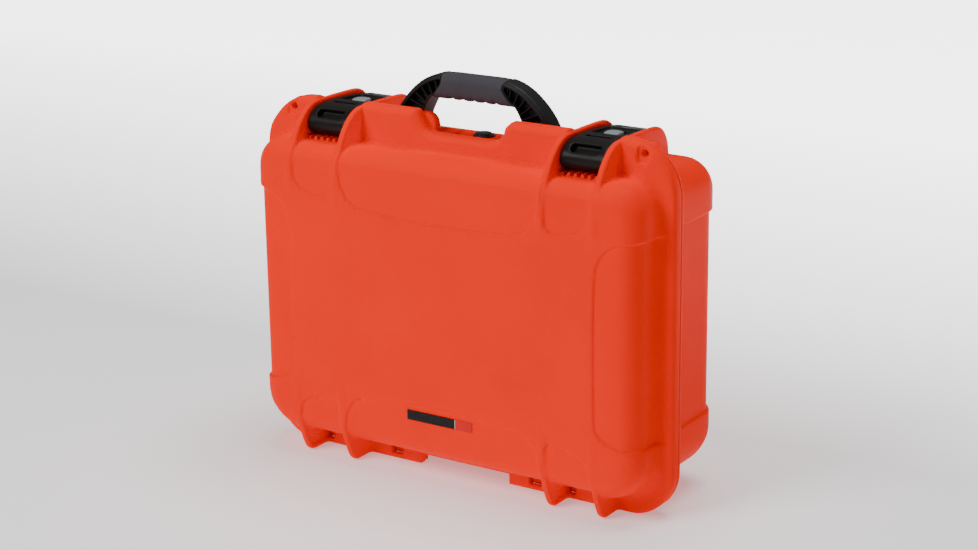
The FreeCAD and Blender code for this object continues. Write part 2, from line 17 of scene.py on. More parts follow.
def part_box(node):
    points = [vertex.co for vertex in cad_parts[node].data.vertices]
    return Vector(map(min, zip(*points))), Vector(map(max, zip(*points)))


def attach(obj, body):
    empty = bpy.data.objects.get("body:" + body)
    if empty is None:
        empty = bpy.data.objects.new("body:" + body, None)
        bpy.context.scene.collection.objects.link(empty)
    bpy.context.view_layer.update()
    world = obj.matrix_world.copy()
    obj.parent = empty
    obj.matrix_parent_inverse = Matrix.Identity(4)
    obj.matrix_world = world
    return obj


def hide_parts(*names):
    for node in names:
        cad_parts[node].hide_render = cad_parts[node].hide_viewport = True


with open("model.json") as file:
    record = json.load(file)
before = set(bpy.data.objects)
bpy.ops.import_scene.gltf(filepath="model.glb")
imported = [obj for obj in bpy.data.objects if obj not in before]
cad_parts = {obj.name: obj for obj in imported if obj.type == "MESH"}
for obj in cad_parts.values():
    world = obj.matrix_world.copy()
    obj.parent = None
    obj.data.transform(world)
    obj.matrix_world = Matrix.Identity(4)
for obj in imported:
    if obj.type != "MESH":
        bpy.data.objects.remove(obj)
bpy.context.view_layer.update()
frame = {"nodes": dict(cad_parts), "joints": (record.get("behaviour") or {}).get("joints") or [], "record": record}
JOINTS = {joint["name"]: joint for joint in frame["joints"]}
MM = 0.001
PARTING_Y = JOINTS["lid_hinge"]["pos_m"][1]


def drawn(corner):
    """A point of the frame in the case's own millimetres."""
    return corner[0] / MM, (corner[1] - PARTING_Y) / MM, corner[2] / MM


def drawn_box(node):
    """The lowest and highest corner of a CAD node."""
    low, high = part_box(node)
    return drawn(low), drawn(high)


def pivot(joint):
    """Where a joint's axis is, in y and z."""
    return drawn(JOINTS[joint]["pos_m"])[1:]


LID_LOW, LID_HIGH = drawn_box("lid_shell")
BASE_HIGH = drawn_box("base_shell")[1]

# Case, rims and domes
HALF_WIDTH = LID_HIGH[0]
HEIGHT = LID_HIGH[2]
BASE_DEPTH = BASE_HIGH[1]
RIB_STAND_OFF = 1.5
LID_DEPTH = -LID_LOW[1] - RIB_STAND_OFF
RIM_BOTTOM_R, RIM_TOP_R = 47.0, 55.0
LID_RIM, BASE_RIM = 13.0, 7.0
RIM_EDGE_R = 5.0
RIM_CREST_R = 9.0
STRIP_EDGE_R = 1.6
GROOVE_R = 9.0
SHOULDER_FOLD_R = 4.0
BAY_FOLD_R = 0.8
DOME_HALF = HALF_WIDTH - 14.0
DOME_Z = (18.0, HEIGHT - 35.5)
ROOT_Z = DOME_Z[1] - 10.0
DOME_BOTTOM_R, DOME_TOP_R = 46.0, 32.0
FACE_EDGE_R, BACK_EDGE_R = 23.0, 30.0
WALL_RECESS, FACE_RECESS = 3.0, 2.0
RECESS_SLOPE = 1.8
LID_DRAFT, DRAFT_TOP_Z, DRAFT_FADE = 8.0, 110.0, 90.0
CAVITY_HALF, CAVITY_Z, CAVITY_WALL = 216.0, (27.0, 327.0), 4.5
CAVITY_BOTTOM_R, CAVITY_TOP_R, CAVITY_EDGE_R = 30.0, 26.0, 18.0

# The seal's groove in the lid: half width, bottom, top and corner radii, and its section
GROOVE_FACE = (229.0, 17.5, 333.5, 36.0, 32.0)
GROOVE_WIDTH, GROOVE_DEPTH = 4.0, 3.5

# Ribs and fins either side of the latches
RIB_T = 7.0
RIB_XS = (120.0, 177.0)
RIB_EDGE_R = 2.2
BAY = (RIB_XS[0] + RIB_T / 2, RIB_XS[1] - RIB_T / 2)
BAY_RIM_Z = 338.5
LATCH_X = sum(RIB_XS) / 2

# Hinge
HINGE_Z = pivot("lid_hinge")[1]
LID_RELIEF_DEG, BASE_RELIEF_DEG = 30.0, 67.0
BARREL_R, BARREL_CLEAR_R = 6.3, 7.0
BARREL_SPAN = (70.0, 182.0)
KNUCKLES = ((77.0, 91.0), (122.0, 131.0), (166.0, 175.0))
KNUCKLE_GAP = 0.5
WINDOW_DROP = 4.0
STRIP_HALF, STRIP_Z = 53.2, 11.0
HINGE_BLOCK = ((STRIP_HALF, 0.0, 0.0), (195.0, 12.0, 22.0))

# Handle, its lugs and the notch in front of it
HANDLE_Y, HANDLE_Z = pivot("handle_fold")
NOTCH_Z = 350.5
SHELF_Z, SHELF_BACK = 349.0, 31.0
INNER_LUG = (38.5, 59.5)
OUTER_LUG = (92.0, 98.5)
LUG_TOP_Z, LUG_BACK = 368.0, 15.0
LUG_BEARING_R, LUG_BEARING = 8.0, 8.0
LEG_FOOT_R = 9.5
GRIP_LOW, GRIP_HIGH = drawn_box("handle_grip")
HANDLE_T = 23.0
HANDLE_HOLE_R = 3.05
HANDLE_ROOM = 0.7

# Latches
LEVER_PIVOT = pivot("latch_right_lift")
BUTTON_PIVOT = pivot("button_right_press")
LEVER_HALF = 24.5
LEVER_CHEEK = 3.5
BUTTON_LOW, BUTTON_HIGH = drawn_box("release_button_right")
KEEPER_HALF, KEEPER_TOP_Z = 14.0, 344.0
KEEPER_Y = (BUTTON_LOW[1] - 11, BUTTON_LOW[1] - 5)
TEETH, TOOTH_PITCH, TOOTH_HALF = 7, 7.5, 1.7
TOOTH_Y = (-29.0, -12.0)

# Pressure valve
VALVE_LOW, VALVE_HIGH = drawn_box("valve_body")
VALVE_X, VALVE_Y = (VALVE_LOW[0] + VALVE_HIGH[0]) / 2, (VALVE_LOW[1] + VALVE_HIGH[1]) / 2
VALVE_R = (VALVE_HIGH[0] - VALVE_LOW[0]) / 2
VALVE_SUNK = 1.5
VALVE_STEM_R, FLANGE_T = 6.0, 1.8
FLUTES, FLUTE_DEPTH = 22, 0.25

# Padlock holes
PADLOCK_X, PADLOCK_Z, PADLOCK_R = 204.5, 360.5, 3.6
PADLOCK_POCKET_DEPTH, PADLOCK_BOSS = 3.5, 6.0

# Far outside everything, and how finely each kind of piece is meshed
FAR = 900.0
SHELL_STEP, DETAIL_STEP, VALVE_STEP, DIVIDER_STEP = 1.0, 0.5, 0.35, 0.2
ADAPTIVITY = 0.05


# ------------------------------------------------------------ distance fields

def union(a, b, blend=0.0):
    """The solid of both fields, with a fillet of this radius where they meet."""
    if np.isscalar(blend) and blend == 0:
        return np.minimum(a, b)
    fillet = np.hypot(np.maximum(blend - a, 0), np.maximum(blend - b, 0))
    return np.maximum(blend, np.minimum(a, b)) - fillet


def common(a, b, round_r=0.0):
    """The space in both fields, with the outer edge between them rounded."""
    if np.isscalar(round_r) and round_r == 0:
        return np.maximum(a, b)
    corner = np.hypot(np.maximum(round_r + a, 0), np.maximum(round_r + b, 0))
    return np.minimum(-round_r, np.maximum(a, b)) + corner


def ease(t):
    """A smooth step from 0 to 1."""
    t = np.clip(t, 0, 1)
    return t * t * (3 - 2 * t)


def between(value, low, high):
    """The distance outside an interval."""
    return np.abs(value - (low + high) / 2) - (high - low) / 2


def block(low, high, round_r=1.0):
    """A box with round edges between two corners."""
    def field(x, y, z):
        outside = [between(v, a, b) + round_r for v, a, b in zip((x, y, z), low, high)]
        beyond = [np.maximum(q, 0) for q in outside]
        length = np.sqrt(beyond[0] ** 2 + beyond[1] ** 2 + beyond[2] ** 2)
        return length + np.minimum(np.maximum(np.maximum(*outside[:2]), outside[2]), 0) - round_r
    return field


def rod(axis, centre, radius, span, round_r=0.5):
    """A round bar along an axis (0, 1 or 2); centre gives its other two coordinates."""
    def field(*place):
        u, v = [c for k, c in enumerate(place) if k != axis]
        return common(np.hypot(u - centre[0], v - centre[1]) - radius, between(place[axis], *span), round_r)
    return field


def softened(points, rounds=2):
    """A closed outline with its corners cut off again and again, so that it turns smoothly."""
    for _ in range(rounds):
        cut = []
        for (a, b), (c, d) in zip(points, points[1:] + points[:1]):
            cut += [(0.75 * a + 0.25 * c, 0.75 * b + 0.25 * d), (0.25 * a + 0.75 * c, 0.25 * b + 0.75 * d)]
        points = cut
    return points


def outline(points):
    """The signed distance to a closed outline."""
    def distance(u, v):
        u, v = np.broadcast_arrays(u, v)
        nearest = np.full(u.shape, 1e9, np.float32)
        inside = np.zeros(u.shape, bool)
        for (a, b), (c, d) in zip(points, points[1:] + points[:1]):
            run, rise = c - a, d - b
            length = run * run + rise * rise
            if length == 0:
                continue
            t = np.clip(((u - a) * run + (v - b) * rise) / length, 0, 1)
            nearest = np.minimum(nearest, (u - a - t * run) ** 2 + (v - b - t * rise) ** 2)
            if rise != 0:
                inside ^= ((v < b) != (v < d)) & (u < a + (v - b) / rise * run)
        return np.where(inside, -1, 1).astype(np.float32) * np.sqrt(nearest)
    return distance


def rounded_plan(q, s, corner_r):
    """A rectangle with round corners, from the distances past its two pairs of sides."""
    q, s = q + corner_r, s + corner_r
    return np.minimum(np.maximum(q, s), 0) + np.hypot(np.maximum(q, 0), np.maximum(s, 0)) - corner_r


def rounded_face(half, z0, z1, bottom_r, top_r):
    """The distance to a face in x and z with its own bottom and top corner radii."""
    def distance(x, z):
        corner_r = np.where(z > (z0 + z1) / 2, top_r, bottom_r)
        return rounded_plan(np.abs(x) - half, between(z, z0, z1), corner_r)
    return distance


def side_plate(points, x0, x1, round_r):
    """A plate across x whose outline is given in y and z."""
    shape = outline(points)
    return lambda x, y, z: common(shape(y, z), between(x, x0, x1), round_r)


def face_plate(points, y0, y1, round_r):
    """A plate across y whose outline is given in x and z."""
    shape = outline(points)
    return lambda x, y, z: common(shape(x, z), between(y, y0, y1), round_r)


class Region:
    """A box of space sampled every step millimetres, and the distance field of what is shaped in it."""

    def __init__(self, low, high, step):
        self.low, self.step = low, step
        counts = [int(math.ceil((b - a) / step)) + 1 for a, b in zip(low, high)]
        self.axes = [(a + step * np.arange(n)).astype(np.float32) for a, n in zip(low, counts)]
        self.field = np.full(counts, FAR, np.float32)

    def place(self, spans):
        """The x, y and z of the samples in these spans, each along its own axis."""
        shapes = ((-1, 1, 1), (1, -1, 1), (1, 1, -1))
        return [axis[span].reshape(shape) for axis, span, shape in zip(self.axes, spans, shapes)]

    def spans(self, low, high):
        """The samples between two corners, or all of them."""
        if low is None:
            return [slice(None)] * 3
        return [slice(*np.searchsorted(axis, (a, b))) for axis, a, b in zip(self.axes, low, high)]

    def add(self, shape, blend=0.0, low=None, high=None):
        """Join a shape to the solid, working only between low and high."""
        spans = self.spans(low, high)
        part = self.field[tuple(spans)]
        part[...] = union(part, shape(*self.place(spans)), blend)

    def cut(self, shape, round_r=0.0, low=None, high=None):
        """Take a shape out of the solid, working only between low and high."""
        spans = self.spans(low, high)
        part = self.field[tuple(spans)]
        part[...] = common(part, -shape(*self.place(spans)), round_r)

    def mesh(self, name, mirrored=False, adaptivity=0.0):
        """An object with the solid's surface; mirrored adds the left side of a right-hand region."""
        field, low = self.field, list(self.low)
        if mirrored:
            field = np.concatenate([field[:0:-1], field])
            low[0] = -self.axes[0][-1]
        reach = 3 * self.step
        grid = openvdb.FloatGrid(reach)
        grid.copyFromArray(np.clip(field, -reach, reach))
        points, triangles, quads = grid.convertToPolygons(adaptivity=adaptivity)
        places = (points * self.step + np.array(low)) * MM + np.array((0, PARTING_Y, 0))
        return mesh_object(name, places, triangles, quads)


def mesh_object(name, places, triangles, quads):
    """A smooth object with these points and faces."""
    corners = np.concatenate([triangles[:, ::-1].ravel(), quads[:, ::-1].ravel()]).astype(np.int32)
    sizes = np.concatenate([np.full(len(triangles), 3), np.full(len(quads), 4)]).astype(np.int32)
    starts = np.concatenate([[0], np.cumsum(sizes)[:-1]]).astype(np.int32)
    mesh = bpy.data.meshes.new(name)
    mesh.vertices.add(len(places))
    mesh.vertices.foreach_set("co", places.astype(np.float32).ravel())
    mesh.loops.add(len(corners))
    mesh.loops.foreach_set("vertex_index", corners)
    mesh.polygons.add(len(sizes))
    mesh.polygons.foreach_set("loop_start", starts)
    mesh.update(calc_edges=True)
    mesh.shade_smooth()
    thing = bpy.data.objects.new(name, mesh)
    bpy.context.scene.collection.objects.link(thing)
    return thing


# ------------------------------------------------------------ the two shells

SIDE_FIELD = [(260, 285), (214, 285), (196, 281), (183, 268), (177, 248), (177, 101), (181, 91), (197, 83),
              (222, 79), (260, 79)]
TOP_BAY_FIELD = [(BAY[0] - 4, 380), (BAY[0] - 4, 284), (148, 284), (166, 290), (BAY[1] + 1, 304),
                 (BAY[1] + 1, 380)]
BOTTOM_BAY_FIELD = [(BAY[0] - 4, -20), (BAY[0] - 4, 74), (140, 73), (160, 68), (BAY[1] + 1, 57),
                    (BAY[1] + 1, -20)]
TOP_FIELD = [(-117, 380), (-117, 280), (-60, 274), (0, 272), (60, 274), (117, 280), (117, 380)]
BOTTOM_FIELD = [(-117, -20), (-117, 77), (-60, 83), (0, 85), (60, 83), (117, 77), (117, -20)]

RIB_CREST = [(-44, 346), (-36.6, 355.4), (-27.8, 363.5), (-19, 368), (-11, 370), (58, 370), (69, 366.5),
             (76, 360), (81, 351), (83, 341), (83, 310), (60, 290)]
LID_RIB = [(20, 290), (-50, 280), (-LID_DEPTH + 1, 276), (-LID_DEPTH - RIB_STAND_OFF, 291),
           (-LID_DEPTH - 0.5, 309), (-57, 319), (-53, 328)]
LID_RIB += [p for p in RIB_CREST if p[0] < 0] + [(40, 370), (40, 290)]
BASE_RIB = [(-40, 290), (-40, 370)] + [p for p in RIB_CREST if p[0] > 0]
LID_FIN = [(30, 60), (-50, 82), (-LID_DEPTH + 1, 88), (-LID_DEPTH - RIB_STAND_OFF, 74),
           (-LID_DEPTH - 0.5, 61), (-57.5, 43), (-53.5, 29), (-48.5, 15), (-43, 4), (-37, 0),
           (-30, 0), (30, 0)]
BASE_FIN = [(-30, 60), (-30, 0), (68, 0), (72, 0), (80, 5), (84, 15), (84, 40), (60, 60)]

NOTCH = [(75, 420), (62, 376), (57, 374), (53, 369), (47.5, 360), (42, 353), (33, NOTCH_Z), (20, NOTCH_Z)]
NOTCH += [(-x, z) for x, z in reversed(NOTCH)]


def sunk_share(x, z):
    """How far each spot of the dome lies inside one of its sunk fields, from 0 to 1."""
    share = np.zeros(np.broadcast_shapes(x.shape, z.shape), np.float32)
    for points in (SIDE_FIELD, TOP_BAY_FIELD, BOTTOM_BAY_FIELD, TOP_FIELD, BOTTOM_FIELD):
        share = np.maximum(share, ease(0.5 - outline(softened(points))(x, z) / RECESS_SLOPE))
    return share


def dome(depth, edge_r, v_of, draft=0.0):
    """The bulging body of one half; v_of turns y into the distance out from the parting plane.

    Its underside rises by the draft from the rim to the face.
    """
    face = rounded_face(DOME_HALF, *DOME_Z, DOME_BOTTOM_R, DOME_TOP_R)

    def field(x, y, z):
        v = v_of(y)
        sink = FACE_RECESS + (WALL_RECESS - FACE_RECESS) * ease((depth - v) / (0.6 * edge_r))
        outward = np.clip((v - LID_RIM) / (depth - LID_RIM), 0, 1)
        lift = draft * outward * ease((DRAFT_TOP_Z - z) / DRAFT_FADE)
        return common(face(x, z - lift), v - depth, edge_r) + sink * sunk_share(x, z)
    return field


def rim(thickness, v_of):
    """The flat rim of one half, without the handle's notch, the hinge strip and the latch bays."""
    face = rounded_face(HALF_WIDTH, 0, HEIGHT, RIM_BOTTOM_R, RIM_TOP_R)
    notch = outline(softened(NOTCH, 1))

    def field(x, y, z):
        flat = common(face(x, z), -notch(x, z), 1.0)
        flat = common(flat, -np.maximum(np.abs(x) - STRIP_HALF, z - STRIP_Z), 2.0)
        flat = common(flat, -common(between(np.abs(x), *RIB_XS), BAY_RIM_Z - z), 2.0)
        radius = RIM_EDGE_R + (min(RIM_CREST_R, thickness - 1.5) - RIM_EDGE_R) * ease((z - DOME_Z[1]) / 16)
        radius = radius + (STRIP_EDGE_R - radius) * ease((22 - z) / 8)
        return common(flat, v_of(y) - thickness, radius)
    return field


def groove_radius(x, z):
    """The fillet between dome and rim: wide at the sides, tight under the handle, tiny in the latch bays."""
    high = ease((z - DOME_Z[1] + 14) / 16) * ease((200 - np.abs(x)) / 12)
    radius = GROOVE_R + (SHOULDER_FOLD_R - GROOVE_R) * high
    in_bay = ease(-between(np.abs(x), *RIB_XS) / RIB_T + 0.5) * ease((z - DOME_Z[1] + 14) / 10)
    return radius + (BAY_FOLD_R - radius) * in_bay


def cavity(depth, v_of, draft=0.0):
    """The hollow inside one half."""
    face = rounded_face(CAVITY_HALF, CAVITY_Z[0] + draft, CAVITY_Z[1], CAVITY_BOTTOM_R, CAVITY_TOP_R)
    return lambda x, y, z: common(face(x, z), v_of(y) - depth + CAVITY_WALL, CAVITY_EDGE_R)


def half_shell(region, depth, edge_r, rim_t, v_of, rib, fin, draft=0.0):
    """What lid and base have in common, up to the flat parting face."""
    region.add(dome(depth, edge_r, v_of, draft))
    everywhere = region.place([slice(None)] * 3)
    radius = groove_radius(everywhere[0], everywhere[2])
    region.add(rim(rim_t, v_of), radius)
    for x in RIB_XS:
        for points, z0, z1 in ((rib, 262, HEIGHT + 4), (fin, -4, 100)):
            plate = side_plate(softened(points), x - RIB_T / 2, x + RIB_T / 2, RIB_EDGE_R)
            region.add(plate, 2.5, (x - 12, region.axes[1][0], z0), (x + 12, region.axes[1][-1] + 1, z1))
    region.cut(lambda x, y, z: v_of(y) + 0 * x, 1.0)
    region.cut(lambda x, y, z: z + 0 * x, 0.8)
    region.cut(cavity(depth, v_of, draft), 1.2)


def hinge_relief(angle_deg, toward):
    """The wedge under the hinge line that leaves room to swing."""
    drop = HINGE_Z + 5
    spread = drop * math.tan(math.radians(angle_deg))
    points = [(0, HINGE_Z), (0, HINGE_Z - drop), (toward * spread, HINGE_Z - drop)]
    return side_plate(points, -FAR, FAR, 0)


def lid_field(step):
    """The right half of the lid."""
    region = Region((0, -LID_DEPTH - 4, -3), (HALF_WIDTH + 3, BARREL_R + 3, HEIGHT + 3), step)
    half_shell(region, LID_DEPTH, FACE_EDGE_R, LID_RIM, lambda y: -y, LID_RIB, LID_FIN, LID_DRAFT)
    bottom = ((0, -LID_DEPTH, -3), (HALF_WIDTH + 3, 12, 30))
    region.cut(hinge_relief(LID_RELIEF_DEG, -1), 0.5, *bottom)
    region.add(rod(0, (0, HINGE_Z), BARREL_R, BARREL_SPAN), 1.0, *bottom)
    for x0, x1 in KNUCKLES:
        x0, x1 = x0 - KNUCKLE_GAP, x1 + KNUCKLE_GAP
        window = block((x0, -40, HINGE_Z - WINDOW_DROP), (x1, 20, HINGE_Z + BARREL_CLEAR_R), 1.0)
        region.cut(window, 0.8, *bottom)
        region.cut(rod(0, (0, HINGE_Z), BARREL_CLEAR_R, (x0, x1)), 0.5, *bottom)
    corner = ((PADLOCK_X - 20, -LID_RIM - 4, PADLOCK_Z - 24), (HALF_WIDTH + 3, 9, HEIGHT + 3))
    pocket_points = [(-6.5, 8), (-6.5, -7), (-4, -9.5), (4, -9.5), (6.5, -7), (6.5, 6)]
    pocket = outline(softened([(PADLOCK_X + x, PADLOCK_Z + z) for x, z in pocket_points]))
    region.cut(lambda x, y, z: common(pocket(x, z), y + LID_RIM - PADLOCK_POCKET_DEPTH, 1.5), 1.2, *corner)
    region.cut(rod(1, (PADLOCK_X, PADLOCK_Z), PADLOCK_R, (-40, 40)), 0.8, *corner)
    comb_teeth(region)
    groove = rounded_face(*GROOVE_FACE)

    def ring(x, y, z):
        return common(common(groove(x, z), -groove(x, z) - GROOVE_WIDTH), -GROOVE_DEPTH - y)
    region.cut(ring, 0.4, (0, -9, 0), (HALF_WIDTH, 9, 345))
    return region


def comb_teeth(region):
    """The row of small teeth below each lever."""
    for number in range(TEETH):
        x = LATCH_X + TOOTH_PITCH * (number - (TEETH - 1) / 2)
        low = (x - TOOTH_HALF, TOOTH_Y[0], ROOT_Z)
        tooth = block(low, (x + TOOTH_HALF, TOOTH_Y[1], DOME_Z[1] + 0.5), 1.0)
        region.add(tooth, 0.8, (x - 6, -30, DOME_Z[1] - 12), (x + 6, -8, DOME_Z[1] + 6))


def handle_shelf(region):
    """The raised shelf, with the pockets and lugs that hold the handle's feet."""
    top = ((0, -1, DOME_Z[1] - 14), (RIB_XS[0] - 4, 60, HEIGHT + 3))
    outer = OUTER_LUG[1]
    region.add(block((-outer, 0, DOME_Z[1] - 8), (outer, SHELF_BACK, SHELF_Z), 2.5), 3.0, *top)
    floor = HANDLE_Z - HANDLE_T / 2 - HANDLE_ROOM
    region.cut(block((INNER_LUG[1], BASE_RIM, floor), (OUTER_LUG[0], SHELF_BACK + 9, FAR), 1.5), 1.0, *top)
    region.cut(rod(2, (VALVE_X, VALVE_Y), VALVE_R + 1, (SHELF_Z - VALVE_SUNK, FAR), 0.8), 0.8, *top)
    x0, x1 = INNER_LUG
    lug = [(x0, ROOT_Z), (x0, LUG_TOP_Z - 8), (x0 + 8, LUG_TOP_Z), (x1 - 1, LUG_TOP_Z),
           (x1, LUG_TOP_Z - 1), (x1, ROOT_Z)]
    region.add(face_plate(softened(lug, 3), BASE_RIM - 2, LUG_BACK, 2.5), 2.5, *top)
    bearing = rod(0, (HANDLE_Y, HANDLE_Z), LUG_BEARING_R, (x1 - LUG_BEARING, x1), 1.0)
    region.add(bearing, 2.0, *top)
    ear_top, ear_back = HANDLE_Z + LEG_FOOT_R, HANDLE_Y + LEG_FOOT_R
    ear = [(BASE_RIM - 1, ROOT_Z), (BASE_RIM - 1, HANDLE_Z + 3), (HANDLE_Y - 7, ear_top),
           (HANDLE_Y + 7, ear_top), (ear_back, HANDLE_Z), (ear_back, ROOT_Z)]
    region.add(side_plate(softened(ear, 1), *OUTER_LUG, 1.5), 2.0, *top)


def base_field(step):
    """The right half of the base."""
    region = Region((0, -BARREL_R - 3, -3), (HALF_WIDTH + 3, BASE_DEPTH + 3, HEIGHT + 3), step)
    half_shell(region, BASE_DEPTH, BACK_EDGE_R, BASE_RIM, lambda y: y, BASE_RIB, BASE_FIN)
    handle_shelf(region)
    bottom = ((0, -12, -3), (HALF_WIDTH + 3, 40, 40))
    region.add(block(*HINGE_BLOCK, 1.5), 2.0, *bottom)
    region.cut(hinge_relief(BASE_RELIEF_DEG, 1), 0.5, *bottom)
    room = rod(0, (0, HINGE_Z), BARREL_CLEAR_R, (BARREL_SPAN[0] - KNUCKLE_GAP, BARREL_SPAN[1] + KNUCKLE_GAP))
    region.cut(room, 0.5, *bottom)
    for x0, x1 in KNUCKLES:
        region.add(rod(0, (0, HINGE_Z), BARREL_R, (x0, x1)), 0.8, *bottom)
        region.add(block((x0, 0, HINGE_Z), (x1, BASE_RIM + 3, HINGE_Z + 9), 0.5), 0.8, *bottom)
    keeper_low = (LATCH_X - KEEPER_HALF, KEEPER_Y[0], DOME_Z[1] - 8)
    keeper_high = (LATCH_X + KEEPER_HALF, KEEPER_Y[1], KEEPER_TOP_Z)
    keeper = block(keeper_low, keeper_high, 1.2)
    region.add(keeper, 2.0, (LATCH_X - 24, 0, DOME_Z[1] - 12), (LATCH_X + 24, 24, 350))
    corner = ((PADLOCK_X - 20, -4, PADLOCK_Z - 24), (HALF_WIDTH + 3, 30, HEIGHT + 3))
    boss = rod(1, (PADLOCK_X, PADLOCK_Z), PADLOCK_R + 4, (0, BASE_RIM + PADLOCK_BOSS), 2.0)
    region.add(boss, 2.5, *corner)
    region.cut(rod(1, (PADLOCK_X, PADLOCK_Z), PADLOCK_R, (-40, 40)), 0.8, *corner)
    return region


# ------------------------------------------------------------ handle

LEG_IN, LEG_OUT = INNER_LUG[1] + 1.0, OUTER_LUG[0] - 0.5
GRIP_UNDER, GRIP_TOP = GRIP_LOW[2], GRIP_HIGH[2]
GRIP_HALF_T = (GRIP_HIGH[1] - GRIP_LOW[1]) / 2
ARCH_OUTSIDE = [(0, GRIP_TOP), (34, GRIP_TOP), (46, 405.3), (58, 400), (69.5, 391.5), (80, 381), (88, 370),
                (92, 361), (LEG_OUT, 353), (LEG_OUT, 320)]
ARCH_INSIDE = [(0, GRIP_UNDER + 2), (46, GRIP_UNDER + 2), (50.5, GRIP_UNDER + 0.8), (LEG_IN - 1.5, 366),
               (LEG_IN, 362), (LEG_IN, 310)]
WEBS, FIRST_WEB_DEG, WEB_PITCH_DEG = 6, 8, 14
WEB_CENTRE = (36.0, 362.0)
WEB_HALF_T, WEB_SUNK = 0.65, 1.6
OUTER_WALL, INNER_WALL, CORE_HALF_T = 5.2, 2.4, 3.0
CHANNEL_FOOT_Z = 363.0
NECK_HEIGHT = 8.0
GRIP_EDGE_R = 9.0
GRIP_NARROW_HALF, GRIP_SLANT, GRIP_FLARE = 35.5, 13.0, 2.0
VALLEYS, VALLEY_PITCH, VALLEY_DEPTH, VALLEY_HALF = 3, 12.9, 1.5, 2.4


def with_mirror(points):
    return points + [(-x, z) for x, z in reversed(points)]


OUTSIDE = outline(softened(with_mirror(ARCH_OUTSIDE), 1))
OPENING = outline(softened(with_mirror(ARCH_INSIDE), 1))


def handle_arch(x, y, z):
    """The handle's arch down to its necks, with soft edges."""
    solid = common(OUTSIDE(x, z), np.abs(y - HANDLE_Y) - HANDLE_T / 2, 4.5)
    return common(common(solid, -OPENING(x, z), 1.2), HANDLE_Z + 6 - z, 1.0)


def handle_channel(x, y, z):
    """The deep open channel in the front and back of each leg, with its radial webs left standing."""
    depth = np.abs(y - HANDLE_Y)
    pocket = common(OUTSIDE(x, z) + OUTER_WALL, INNER_WALL - OPENING(x, z), 1.5)
    pocket = common(common(pocket, CHANNEL_FOOT_Z - z, 1.5), grip_end(z) + 2.0 - x, 1.0)
    web = np.full(np.broadcast_shapes(x.shape, z.shape), FAR, np.float32)
    for number in range(WEBS):
        angle = math.radians(FIRST_WEB_DEG + WEB_PITCH_DEG * number)
        across = (x - WEB_CENTRE[0]) * math.sin(angle) - (z - WEB_CENTRE[1]) * math.cos(angle)
        web = np.minimum(web, np.abs(across))
    standing = np.maximum(web - WEB_HALF_T, depth - HANDLE_T / 2 + WEB_SUNK)
    return common(common(pocket, CORE_HALF_T - depth, 1.0), -standing, 0.5)


def grip_end(z):
    """How far the grip reaches along x: its ends slant outward going down, and flare a little on top."""
    slant = np.clip((GRIP_TOP - 9 - z) / 17, 0, 1) ** 1.2
    flare = ease((z - GRIP_TOP + 6) / 6)
    return GRIP_NARROW_HALF + GRIP_SLANT * slant + GRIP_FLARE * flare


def grip_shape(x, y, z):
    """The soft sleeve, with valleys for the fingers along its underside."""
    valleys = np.zeros_like(x)
    for number in range(VALLEYS):
        valleys += VALLEY_DEPTH * np.exp(-((np.abs(x) - VALLEY_PITCH * number) / VALLEY_HALF) ** 2)
    section = np.maximum(GRIP_UNDER + valleys - z, OUTSIDE(x, z))
    section = common(section, np.abs(y - HANDLE_Y) - GRIP_HALF_T + 0 * section, GRIP_EDGE_R)
    return common(section, np.abs(x) - grip_end(z), 0.8)


def grip_room(x, y, z):
    """The space in the arch that the sleeve takes up."""
    return common(np.abs(x) - grip_end(z) - 0.25, GRIP_UNDER - 4 - z) + 0 * y


def handle_region(step):
    low = (0, HANDLE_Y - GRIP_HALF_T - 2, HANDLE_Z - 14)
    high = (LEG_OUT + 2, HANDLE_Y + GRIP_HALF_T + 2, GRIP_TOP + 2)
    return Region(low, high, step)


def handle_mesh(step):
    """The hard frame of the handle."""
    region = handle_region(step)
    region.add(handle_arch)
    region.add(rod(0, (HANDLE_Y, HANDLE_Z), LEG_FOOT_R, (LEG_IN, LEG_OUT), 1.0), 1.0)
    neck_low = (LEG_IN, HANDLE_Y - LEG_FOOT_R, HANDLE_Z)
    neck_high = (LEG_OUT, HANDLE_Y + LEG_FOOT_R, HANDLE_Z + NECK_HEIGHT)
    region.add(block(neck_low, neck_high, 1.0), 1.0)
    region.cut(handle_channel, 0.6)
    region.cut(grip_room, 0.5)
    region.add(block((-40, HANDLE_Y - 7, GRIP_UNDER + 6), (40, HANDLE_Y + 7, GRIP_TOP - 6), 1.0))
    region.cut(rod(0, (HANDLE_Y, HANDLE_Z), HANDLE_HOLE_R, (0, 100)), 0.4)
    return region.mesh("handle_moulding", True, ADAPTIVITY)


def grip_mesh(step):
    region = handle_region(step)
    region.add(grip_shape)
    return region.mesh("grip_sleeve", True, ADAPTIVITY)


# ------------------------------------------------------------ latches

LEVER_TOP = [
    (-21, 339), (-25.5, 340.5), (-29, 344), (-30.3, 349), (-29, 354.5), (-25, 359.8), (-19, 363.8),
    (-10, 366.7), (2, 367.6), (16, 367.8), (33, 367), (50, 365.7), (67, 363.5), (82, 360.8), (86, 358),
    (86, 354), (84, 350),
]
LEVER_UNDER = [(60, 347), (-6, 347), (-12, 340)]
LEVER_HOLLOW = [(-11, 330), (-8, 361), (2, 362.8), (33, 361), (60, 359.5), (81, 356), (82, 330)]
SLOT_CENTRE = (-22.4, 361.2)
SLOT_HALF = (15.8, 5.4)
SLOT_CORNER_R, SLOT_DEPTH = 4.0, 7.5
NARROW_SLOT = ((LATCH_X - 14, BUTTON_LOW[1] - 22, 350), (LATCH_X + 14, BUTTON_LOW[1] - 15, 380))
RECESS = ((LATCH_X - 16.5, BUTTON_LOW[1] - 6, 363.2), (LATCH_X + 16.5, BUTTON_PIVOT[0] + 10, 380))
